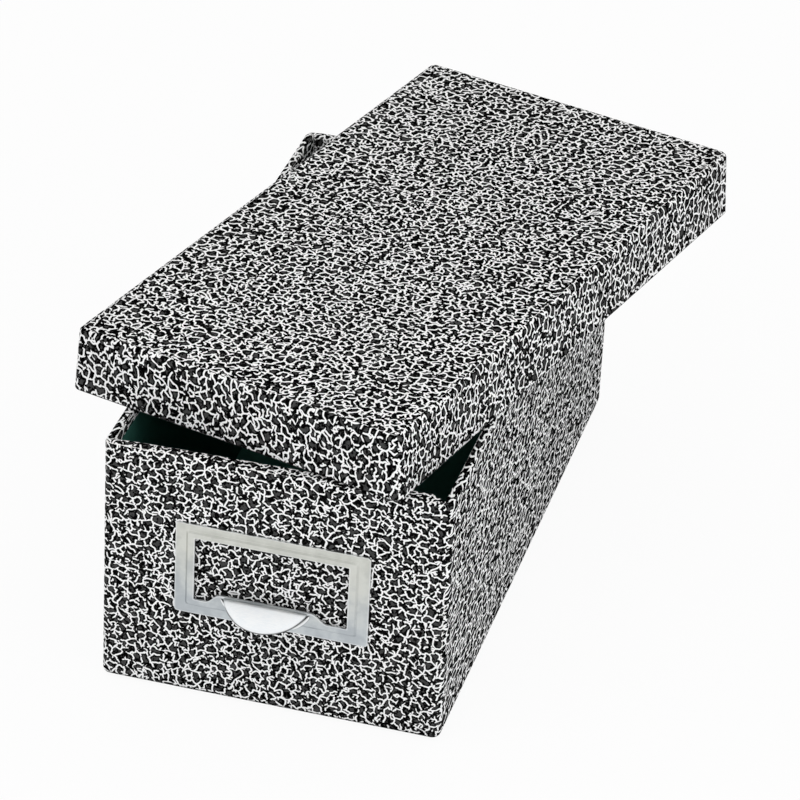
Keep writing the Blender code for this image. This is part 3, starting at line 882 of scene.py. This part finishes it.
def line_tray():
    """The dark lining over the tray's bottom and up to the cover's turned-in edge."""
    free = TRAY_HEIGHT - TRAY_TURN_IN - LAYER_GAP
    section = (
        (FLAT_END_FROM * TRAY_WIDTH, TRAY_LINER_FLOOR),
        (TRAY_LINER_INSET, TRAY_LINER_FLOOR),
        (TRAY_LINER_INSET, free),
    )
    mesh = TRAY.shell(section, (TRAY_LINER_FOLD,), on_strip, close_start=True)
    trim_to_turn_in(mesh, TRAY_LINER_FLOOR + TRAY_LINER_FOLD, free, LAYER_GAP)
    fill_front_wall(mesh)
    lining = new_piece("tray_lining", mesh, LINING, "tray")
    thicken(lining, PAPER)
    settle(lining)
    combine(lining, prong_slots(), "DIFFERENCE")
    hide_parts("tray_liner")


# Lid


def cover_lid():
    """The marbled sheet over the lid's top, down its skirts and turned in round their edges."""
    section = (
        (LID_WALL, LID_TURN_IN),
        (LID_WALL, 0),
        (0, 0),
        (0, LID_HEIGHT),
        (FLAT_END_FROM * LID_WIDTH, LID_HEIGHT),
    )
    radii = (LID_RIM_RADIUS, LID_RIM_RADIUS, LID_TOP_RADIUS)
    mesh = LID.shell(section, radii, on_lid_sheet, close_end=True)
    # Painted contact shade along the lid's lower fold, where it rests on the rim.
    shade_lower_edge(mesh, *LID_EDGE_SHADE)
    cover = new_piece("lid_cover", mesh, MARBLED, "lid", LID_PLACE)
    thicken(cover, PAPER)
    settle(cover)
    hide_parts("lid_wrap")


def line_lid():
    """The dark lining up the skirts' insides and over the lid's ceiling."""
    inset = LID_WALL - PAPER
    ceiling = LID_HEIGHT - inset
    section = (
        (inset, LID_TURN_IN + LAYER_GAP),
        (inset, ceiling),
        (FLAT_END_FROM * LID_WIDTH, ceiling),
    )
    mesh = LID.shell(section, (LID_LINER_FOLD,), on_strip, close_end=True)
    lining = new_piece("lid_lining", mesh, LINING, "lid", LID_PLACE)
    thicken(lining, PAPER)
    settle(lining)
    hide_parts("lid_liner")


# Label holder, drawn flat: x to the right, y up, z out of the wall

PULL_MIDDLE = -0.0016
SHOULDER_TOP, SHOULDER_FOOT = 0.0188, 0.0248
SHOULDER_FROM = 0.6
CREST_RISE = 0.0007
FLANGE_SHARE, LIP_SHARE = 0.53, 0.66
HOLDER_CORNER_RADIUS, WINDOW_CORNER_RADIUS = 0.0012, 0.0006
PLATE_FOLD = 0.0005
PLATE_STEP = HOLDER_SIDE_RAIL / 14
EDGE_BREAK = 0.00018
RAIL_STEPS = (14, 96, 14, 40)
RAIL_CORNER_STEPS = 4
PULL_COLUMNS, PULL_ROWS = 64, 22
ROOT_FOLD = 0.0022
ROOT_CROWN = 0.35
MERGE_DISTANCE = 0.00001
# Painted highlight over the pull's dome, fading out towards its root, and along the plate's outer and window
# edges.
HIGHLIGHT_FROM = 0.0016
EDGE_SHINE = 0.55
SKIRT_DROPS = (0.4, 0.8, 1.0)
# Painted shade on the pull's turned-down rim, row by row, and on the dome's edge along its left flank.
SKIRT_SHADE = (0.5, 0.9, 1.0)
FLANK_SHADE = 0.8
FLANK_SHADE_FROM, FLANK_SHADE_FULL = 0.955, 0.99
LEFT_FLANK_FROM, LEFT_FLANK_OVER = 0.45, 0.3
BEAD_COURSE = ((0.0180, -0.0096, 0.0034), (0.0148, -0.0142, 0.0023), (0.0104, -0.0189, 0.0009))
BEAD_HALF_WIDTH, BEAD_RISE = 0.00105, 0.0006
BEAD_STEPS, BEAD_SIDES = 18, 14
BEAD_TIP = 0.15
# Painted highlight along each bead's top.
BEAD_SHINE = 1.6
# Painted shade in the crease beside each bead and on its outer side.
CREASE_SHADE, CREASE_START = 2.2, 0.1
OUTER_SIDE_SHADE = 0.3


def shoulder_lift(x):
    """1 behind the pull and 0 beyond its shoulders, with an S-shaped rise between."""
    return smooth_share((SHOULDER_FOOT - abs(x - PULL_MIDDLE)) / (SHOULDER_FOOT - SHOULDER_TOP))


def rail_ring(share, proud):
    """Points round the plate, a share of the way from its outer edge to the label window."""
    half_width = HOLDER_WIDTH / 2 - HOLDER_SIDE_RAIL * share
    foot = -HOLDER_HEIGHT / 2 + HOLDER_FOOT_RAIL * share
    top = HOLDER_HEIGHT / 2 - HOLDER_TOP_RAIL * share
    radius = HOLDER_CORNER_RADIUS + (WINDOW_CORNER_RADIUS - HOLDER_CORNER_RADIUS) * share
    near_window = smooth_share((share - SHOULDER_FROM) / (1 - SHOULDER_FROM))
    lifted = []
    for point in rounded_plan(half_width, foot, top, radius, RAIL_CORNER_STEPS, RAIL_STEPS):
        on_foot = point.y < 0 and abs(point.x) < half_width - radius
        lift = shoulder_lift(point.x) * near_window if on_foot else 0
        rise = lift * (PULL_ROOT_HEIGHT + CREST_RISE - WINDOW_FOOT)
        forward = lift * (PULL_ROOT_PROUD - HOLDER_SHEET - LIP_RISE)
        lifted.append((point.x, point.y + rise, proud + forward))
    return lifted


def join_rings(mesh, rings):
    """Faces between rings of points that close on themselves. Gives the rings' new vertices."""
    rings = [[mesh.verts.new(point) for point in ring] for ring in rings]
    for ring, after in zip(rings, rings[1:]):
        for corners in zip(ring, ring[1:] + ring[:1], after[1:] + after[:1], after):
            mesh.faces.new(corners)
    return rings


def join_rows(mesh, rows):
    """Faces between open rows of points. Gives the rows' new vertices."""
    rows = [[mesh.verts.new(point) for point in row] for row in rows]
    for row, after in zip(rows, rows[1:]):
        for corners in zip(row, row[1:], after[1:], after):
            mesh.faces.new(corners)
    return rows


def plate():
    """Flat flange, stepped up to a lip round the window, with shoulders up to the pull's root."""
    lip_front = HOLDER_SHEET + LIP_RISE
    section = (
        (0, HOLDER_SHEET),
        (FLANGE_SHARE * HOLDER_SIDE_RAIL, HOLDER_SHEET),
        (LIP_SHARE * HOLDER_SIDE_RAIL, lip_front),
        (HOLDER_SIDE_RAIL, lip_front),
    )
    mesh = bmesh.new()
    painted_highlight = mesh.verts.layers.float.new("painted_highlight")
    path = folded(section, (PLATE_FOLD, PLATE_FOLD), PLATE_STEP)
    rings = join_rings(mesh, [rail_ring(across / HOLDER_SIDE_RAIL, proud) for across, proud in path])
    # Painted highlight along the plate's outer edge and the window's edge.
    for point in rings[0] + rings[-1]:
        point[painted_highlight] = EDGE_SHINE
    return mesh


def pull_painted_shade(row, x):
    """Painted shade on the pull: all round its turned-down rim, and on the dome's edge along the left flank.
    """
    if row > PULL_ROWS:
        return SKIRT_SHADE[row - PULL_ROWS - 1]
    from_root = sin(pi / 2 * row / PULL_ROWS)
    at_edge = smooth_share((from_root - FLANK_SHADE_FROM) / (FLANK_SHADE_FULL - FLANK_SHADE_FROM))
    on_left = smooth_share((-x / PULL_RADIUS - LEFT_FLANK_FROM) / LEFT_FLANK_OVER)
    return FLANK_SHADE * at_edge * on_left


def pull():
    """A half-moon dome that stands out and droops, rolled back at its root and turned down at its rim."""
    tip = atan2(-PULL_CHORD, sqrt(PULL_RADIUS**2 - PULL_CHORD**2))
    rows = []
    for row in range(PULL_ROWS + 1):
        share = sin(pi / 2 * row / PULL_ROWS)
        points = []
        for column in range(PULL_COLUMNS + 1):
            angle = -pi - tip + (pi + 2 * tip) * column / PULL_COLUMNS
            rim = Vector((PULL_RADIUS * cos(angle), PULL_RADIUS * sin(angle)))
            root = Vector((rim.x, -PULL_CHORD))
            point = root.lerp(rim, share)
            crown = PULL_CROWN * sqrt(max(0.0, 1 - (point.length / PULL_RADIUS) ** 2))
            from_root = -PULL_CHORD - point.y
            rolled = sqrt(max(0.0, 1 - (1 - min(from_root / ROOT_FOLD, 1.0)) ** 2))
            domed = crown * (ROOT_CROWN + (1 - ROOT_CROWN) * rolled)
            points.append((point.x, point.y + PULL_CHORD, domed))
        rows.append(points)
    for down in SKIRT_DROPS:
        rows.append([(x, y, z - down * PULL_SKIRT) for x, y, z in rows[PULL_ROWS]])
    mesh = bmesh.new()
    painted_highlight = mesh.verts.layers.float.new("painted_highlight")
    painted_shade = mesh.verts.layers.float.new("painted_shade")
    for number, row in enumerate(join_rows(mesh, rows)):
        for point in row:
            # Painted highlight over the dome, fading out at its root.
            point[painted_highlight] = smooth_share(-point.co.y / HIGHLIGHT_FROM)
            # Painted shade on the pull's rim and left flank.
            point[painted_shade] = pull_painted_shade(number, point.co.x)
    bmesh.ops.remove_doubles(mesh, verts=mesh.verts, dist=MERGE_DISTANCE)
    bmesh.ops.recalc_face_normals(mesh, faces=mesh.faces)
    lean = Matrix.Rotation(PULL_DROOP - pi / 2, 4, "X")
    mesh.transform(Matrix.Translation((PULL_MIDDLE, PULL_ROOT_HEIGHT, PULL_ROOT_PROUD)) @ lean)
    return mesh


def flank_bead(right):
    """A rib pressed down the plate beside the pull's flank, with painted shade in the crease between them
    and on its outer side, and a painted highlight along its top.
    """
    start, middle, end = [Vector((right * x, y, z)) for x, y, z in BEAD_COURSE]
    bend = 2 * middle - (start + end) / 2
    angles = [2 * pi * number / BEAD_SIDES for number in range(BEAD_SIDES)]
    courses = []
    for step in range(BEAD_STEPS + 1):
        share = step / BEAD_STEPS
        place = start * (1 - share) ** 2 + bend * 2 * share * (1 - share) + end * share**2
        along = (bend - start) * (1 - share) + (end - bend) * share
        away = Vector((-along.y, along.x, 0)).normalized() * right
        slimmed = BEAD_TIP + (1 - BEAD_TIP) * sqrt(max(0.0, 1 - (2 * share - 1) ** 2))
        ring = []
        for angle in angles:
            out = away * cos(angle) * BEAD_HALF_WIDTH + Vector((0, 0, sin(angle) * BEAD_RISE))
            ring.append(place + out * slimmed + Vector((PULL_MIDDLE, 0, 0)))
        courses.append(ring)
    mesh = bmesh.new()
    painted_highlight = mesh.verts.layers.float.new("painted_highlight")
    painted_shade = mesh.verts.layers.float.new("painted_shade")
    rings = join_rings(mesh, courses)
    for ring in rings:
        for point, angle in zip(ring, angles):
            in_crease = smooth_share(-CREASE_SHADE * cos(angle) - CREASE_START)
            on_far_side = smooth_share(2 * cos(angle) - 1)
            # Painted highlight along the bead's top.
            point[painted_highlight] = smooth_share(BEAD_SHINE * sin(angle))
            # Painted shade in the crease beside the pull and on the bead's outer side.
            point[painted_shade] = in_crease + OUTER_SIDE_SHADE * on_far_side
    for ring in (rings[0], rings[-1]):
        mesh.faces.new(ring)
    bmesh.ops.recalc_face_normals(mesh, faces=mesh.faces)
    return mesh


def prong(right, up):
    """A strip from the back of the flange through the wall, bent over behind it."""
    reach = PRONG_REACH + front_fill(right * PRONG_ACROSS)
    section = (
        (PRONG_ACROSS, HOLDER_SHEET / 2),
        (PRONG_ACROSS, -reach),
        (PRONG_ACROSS - PRONG_CLINCH, -reach),
    )
    path = folded(section, (HOLDER_SHEET,))
    edges = (up * PRONG_UP - PRONG_WIDTH / 2, up * PRONG_UP + PRONG_WIDTH / 2)
    mesh = bmesh.new()
    join_rows(mesh, [[(x * right, y, z) for x, z in path] for y in edges])
    return mesh


def stamp_label_holder():
    """The plate with its ribs, its pull and its four prongs, joined into one sheet of steel."""
    holder = new_piece("label_holder_stamping", plate(), STEEL, "tray")
    thicken(holder, HOLDER_SHEET)
    break_edges(holder, EDGE_BREAK)
    settle(holder)
    for right in (-1, 1):
        combine(holder, flank_bead(right), "UNION")
    combine(holder, thick_sheet(pull(), HOLDER_SHEET, broken=EDGE_BREAK), "UNION")
    for right, up in PRONG_SIDES:
        combine(holder, thick_sheet(prong(right, up), HOLDER_SHEET, offset=0.0), "UNION")
    holder.data.transform(HOLDER_PLACE)
    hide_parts("label_holder")


cover_tray()
line_tray()
cover_lid()
line_lid()
stamp_label_holder()

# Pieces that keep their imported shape

KEPT = {"tray_board": BOARD, "lid_board": BOARD, "tray_base_sheet": BASE_PAPER}
for owner in ("tray", "lid"):
    for number in range(1, 5):
        KEPT[f"{owner}_corner_stay_{number}"] = KRAFT
for name, material in KEPT.items():
    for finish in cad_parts[name].material_slots:
        finish.link = "OBJECT"
        finish.material = material

# Floor, light and camera

CAMERA_PLACE = (0.38458, -1.4725, 0.99041)
CAMERA_RIGHT = Vector((0.96161, 0.27079, 0.04457))
CAMERA_DOWN = Vector((0.17759, -0.49018, -0.85334))
CAMERA_FORWARD = Vector((-0.20923, 0.82849, -0.51945))
CAMERA_LENS = 193.2
SENSOR = 36.0
FLOOR_GREY = (0.84, 0.84, 0.84, 1.0)
FLOOR_GLOW = 0.93
FLOOR_GAP = 0.0001
FLOOR_REACH = 12
WHITE = (1.0, 1.0, 1.0, 1.0)
ROOM_LOW = (1.20, 1.22, 1.25, 1.0)
ROOM_HIGH = (0.75, 0.745, 0.73, 1.0)
ROOM_LOW_FROM, ROOM_HIGH_FULL = -0.1, 0.9
LAMPS = {
    "softbox": ((-0.10, -0.50, 0.75), 0.6, 0.88),
    "side_panel": ((0.85, -0.45, 0.45), 0.5, 0.88),
    "front_panel": ((0.35, -1.20, 0.75), 0.5, 0.28),
}


def seen_directly(wiring):
    """1 for rays from the camera and for what metal mirrors, 0 for light that falls on the box."""
    path = wiring.node("LightPath").outputs
    mirrored = wiring.maths("MAXIMUM", path["Is Glossy Ray"], path["Is Transmission Ray"])
    return wiring.maths("MAXIMUM", path["Is Camera Ray"], mirrored)


def lay_floor():
    """A white floor. The camera sees it mostly as plain white, with only a trace of the shadow on it."""
    material = bpy.data.materials.new("floor")
    material.use_nodes = True
    wiring = Wiring(material.node_tree)
    shader = material.node_tree.nodes["Principled BSDF"]
    shader.inputs["Base Color"].default_value = FLOOR_GREY
    shader.inputs["Roughness"].default_value = 1.0
    shader.inputs["Specular IOR Level"].default_value = 0.0
    glow = wiring.node("Emission", {"Color": WHITE}).outputs[0]
    share = wiring.maths("MULTIPLY", seen_directly(wiring), FLOOR_GLOW)
    mixed = wiring.node("MixShader", {0: share, 1: shader.outputs[0], 2: glow}).outputs[0]
    surface = material.node_tree.nodes["Material Output"].inputs["Surface"]
    material.node_tree.links.new(mixed, surface)
    mesh = bmesh.new()
    bmesh.ops.create_grid(mesh, x_segments=1, y_segments=1, size=FLOOR_REACH)
    floor = new_object("floor", mesh)
    floor.data.materials.append(material)
    floor.location.z = -FLOOR_GAP


def light_room():
    """Pale surroundings, brighter and cooler near the floor, that the camera sees as plain white."""
    world = bpy.data.worlds.new("white_room")
    bpy.context.scene.world = world
    world.use_nodes = True
    wiring = Wiring(world.node_tree)
    background = world.node_tree.nodes["Background"]
    direction = wiring.node("TexCoord").outputs["Generated"]
    share = wiring.ease(wiring.height_of(direction), ROOM_LOW_FROM, ROOM_HIGH_FULL)
    colour = wiring.blend(share, ROOM_LOW, ROOM_HIGH)
    colour = wiring.blend(seen_directly(wiring), colour, WHITE)
    world.node_tree.links.new(colour, background.inputs["Color"])


def hang_lamps():
    """Square panels, given as place, side and power, that all face the box and don't show in its steel."""
    for name, (place, size, power) in LAMPS.items():
        data = bpy.data.lights.new(name, "AREA")
        data.shape = "SQUARE"
        data.size = size
        data.energy = power
        lamp = put_in_scene(name, data)
        lamp.location = place
        aim = Vector((0, 0, TRAY_HEIGHT)) - lamp.location
        lamp.rotation_euler = aim.to_track_quat("-Z", "Y").to_euler()
        lamp.visible_glossy = False


def place_camera():
    """The photograph's viewing angle, given by the directions of its frame."""
    data = bpy.data.cameras.new("camera")
    data.sensor_width = SENSOR
    data.lens = CAMERA_LENS
    camera = put_in_scene("camera", data)
    columns = Matrix((CAMERA_RIGHT, -CAMERA_DOWN, -CAMERA_FORWARD)).transposed()
    camera.matrix_world = Matrix.Translation(CAMERA_PLACE) @ columns.to_4x4()
    bpy.context.scene.camera = camera


lay_floor()
light_room()
hang_lamps()
place_camera()
bpy.context.scene.view_settings.view_transform = "Standard"
